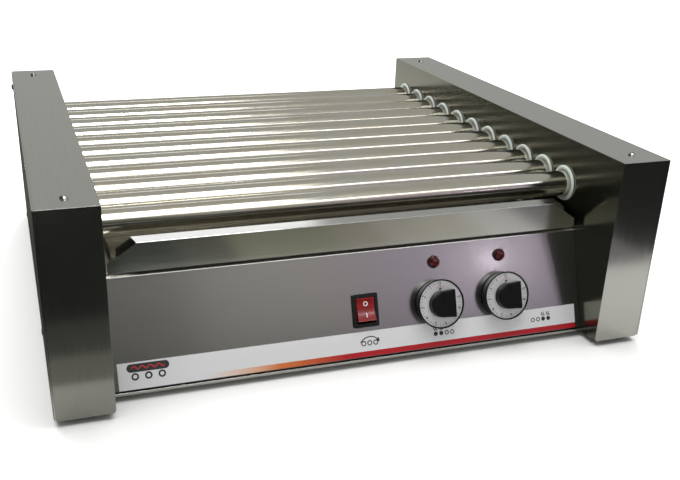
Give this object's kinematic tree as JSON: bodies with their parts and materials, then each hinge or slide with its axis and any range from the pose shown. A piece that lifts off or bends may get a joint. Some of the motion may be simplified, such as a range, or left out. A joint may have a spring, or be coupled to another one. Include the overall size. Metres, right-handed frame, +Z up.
{
  "type": "hot dog roller grill",
  "caption": "Countertop roller grill: a bed of heated steel rollers between two box towers, with a pull-out drip tray, a sloped control panel, a rocker switch and two heat knobs.",
  "frame": {"origin": "on the counter, under the middle of the body", "axes": "+X along the rollers to the control side, +Y to the back, +Z up"},
  "size_m": [0.584, 0.544, 0.194],
  "materials": {
    "stainless": "brushed stainless sheet",
    "polished": "polished stainless tube",
    "steel": "oiled steel",
    "white_plastic": "white bearing plastic",
    "black_plastic": "moulded black",
    "red_plastic": "translucent red",
    "label": "printed film",
    "rubber": "matt rubber",
    "motor_paint": "grey enamel",
    "ceramic": "cream moulded insulator"
  },
  "bodies": {
    "frame": {"bushing_left_01": "white_plastic", "bushing_right_01": "white_plastic", "bushing_left_02": "white_plastic", "bushing_right_02": "white_plastic", "bushing_left_03": "white_plastic", "bushing_right_03": "white_plastic", "bushing_left_04": "white_plastic", "bushing_right_04": "white_plastic", "bushing_left_05": "white_plastic", "bushing_right_05": "white_plastic", "bushing_left_06": "white_plastic", "bushing_right_06": "white_plastic", "bushing_left_07": "white_plastic", "bushing_right_07": "white_plastic", "bushing_left_08": "white_plastic", "bushing_right_08": "white_plastic", "bushing_left_09": "white_plastic", "bushing_right_09": "white_plastic", "bushing_left_10": "white_plastic", "bushing_right_10": "white_plastic", "bushing_left_11": "white_plastic", "bushing_right_11": "white_plastic", "tower_left": "stainless", "side_cover_left": "stainless", "tower_right": "stainless", "side_cover_right": "stainless", "base_pan": "stainless", "deck_plate": "stainless", "front_panel": "stainless", "rear_panel": "stainless", "label_strip": "label", "rocker_frame": "black_plastic", "thermostat_1": "ceramic", "lamp_1": "red_plastic", "thermostat_2": "ceramic", "lamp_2": "red_plastic", "gear_motor": "motor_paint", "drive_chain": "steel", "terminal_block": "black_plastic", "cord_gland": "black_plastic", "foot_1": "rubber", "foot_2": "rubber", "foot_3": "rubber", "foot_4": "rubber"},
    "roller_01": {"roller_01": "polished"},
    "roller_02": {"roller_02": "polished"},
    "roller_03": {"roller_03": "polished"},
    "roller_04": {"roller_04": "polished"},
    "roller_05": {"roller_05": "polished"},
    "roller_06": {"roller_06": "polished"},
    "roller_07": {"roller_07": "polished"},
    "roller_08": {"roller_08": "polished"},
    "roller_09": {"roller_09": "polished"},
    "roller_10": {"roller_10": "polished"},
    "roller_11": {"roller_11": "polished"},
    "motor_sprocket": {"motor_sprocket": "steel"},
    "drip_tray": {"drip_tray": "stainless"},
    "rocker": {"rocker": "red_plastic"},
    "knob_1": {"knob_1": "black_plastic"},
    "knob_2": {"knob_2": "black_plastic"}
  },
  "joints": [
    {"name": "roller_01_spin", "type": "hinge", "parent": "frame", "child": "roller_01", "pos_m": [0, -0.181, 0.1472], "axis": [1, 0, 0], "continuous": true},
    {"name": "roller_02_spin", "type": "hinge", "parent": "frame", "child": "roller_02", "pos_m": [0, -0.13972, 0.1472], "axis": [1, 0, 0], "continuous": true},
    {"name": "roller_03_spin", "type": "hinge", "parent": "frame", "child": "roller_03", "pos_m": [0, -0.09845, 0.1472], "axis": [1, 0, 0], "continuous": true},
    {"name": "roller_04_spin", "type": "hinge", "parent": "frame", "child": "roller_04", "pos_m": [0, -0.05717, 0.1472], "axis": [1, 0, 0], "continuous": true},
    {"name": "roller_05_spin", "type": "hinge", "parent": "frame", "child": "roller_05", "pos_m": [0, -0.0159, 0.1472], "axis": [1, 0, 0], "continuous": true},
    {"name": "roller_06_spin", "type": "hinge", "parent": "frame", "child": "roller_06", "pos_m": [0, 0.02538, 0.1472], "axis": [1, 0, 0], "continuous": true},
    {"name": "roller_07_spin", "type": "hinge", "parent": "frame", "child": "roller_07", "pos_m": [0, 0.06665, 0.1472], "axis": [1, 0, 0], "continuous": true},
    {"name": "roller_08_spin", "type": "hinge", "parent": "frame", "child": "roller_08", "pos_m": [0, 0.10792, 0.1472], "axis": [1, 0, 0], "continuous": true},
    {"name": "roller_09_spin", "type": "hinge", "parent": "frame", "child": "roller_09", "pos_m": [0, 0.1492, 0.1472], "axis": [1, 0, 0], "continuous": true},
    {"name": "roller_10_spin", "type": "hinge", "parent": "frame", "child": "roller_10", "pos_m": [0, 0.19048, 0.1472], "axis": [1, 0, 0], "continuous": true},
    {"name": "roller_11_spin", "type": "hinge", "parent": "frame", "child": "roller_11", "pos_m": [0, 0.23175, 0.1472], "axis": [1, 0, 0], "continuous": true},
    {"name": "motor_spin", "type": "hinge", "parent": "frame", "child": "motor_sprocket", "pos_m": [0.2535, 0.024, 0.062], "axis": [1, 0, 0], "continuous": true},
    {"name": "tray_slide", "type": "slide", "parent": "frame", "child": "drip_tray", "axis": [0, -1, 0], "range_m": [0, 0.4]},
    {"name": "rocker_tilt", "type": "hinge", "parent": "frame", "child": "rocker", "pos_m": [0.003, -0.22629, 0.0514], "axis": [1, 0, 0], "range_deg": [0, 18]},
    {"name": "knob_1_turn", "type": "hinge", "parent": "frame", "child": "knob_1", "pos_m": [0.0787, -0.23536, 0.05278], "axis": [0, 0.9397, -0.3419], "range_deg": [0, 285]},
    {"name": "knob_2_turn", "type": "hinge", "parent": "frame", "child": "knob_2", "pos_m": [0.1512, -0.23536, 0.05278], "axis": [0, 0.9397, -0.3419], "range_deg": [0, 285]}
  ],
  "couplings": [
    {"joint": "roller_02_spin", "follows": "roller_01_spin", "ratio": 1},
    {"joint": "roller_03_spin", "follows": "roller_01_spin", "ratio": 1},
    {"joint": "roller_04_spin", "follows": "roller_01_spin", "ratio": 1},
    {"joint": "roller_05_spin", "follows": "roller_01_spin", "ratio": 1},
    {"joint": "roller_06_spin", "follows": "roller_01_spin", "ratio": 1},
    {"joint": "roller_07_spin", "follows": "roller_01_spin", "ratio": 1},
    {"joint": "roller_08_spin", "follows": "roller_01_spin", "ratio": 1},
    {"joint": "roller_09_spin", "follows": "roller_01_spin", "ratio": 1},
    {"joint": "roller_10_spin", "follows": "roller_01_spin", "ratio": 1},
    {"joint": "roller_11_spin", "follows": "roller_01_spin", "ratio": 1},
    {"joint": "motor_spin", "follows": "roller_01_spin", "ratio": 1.6}
  ]
}
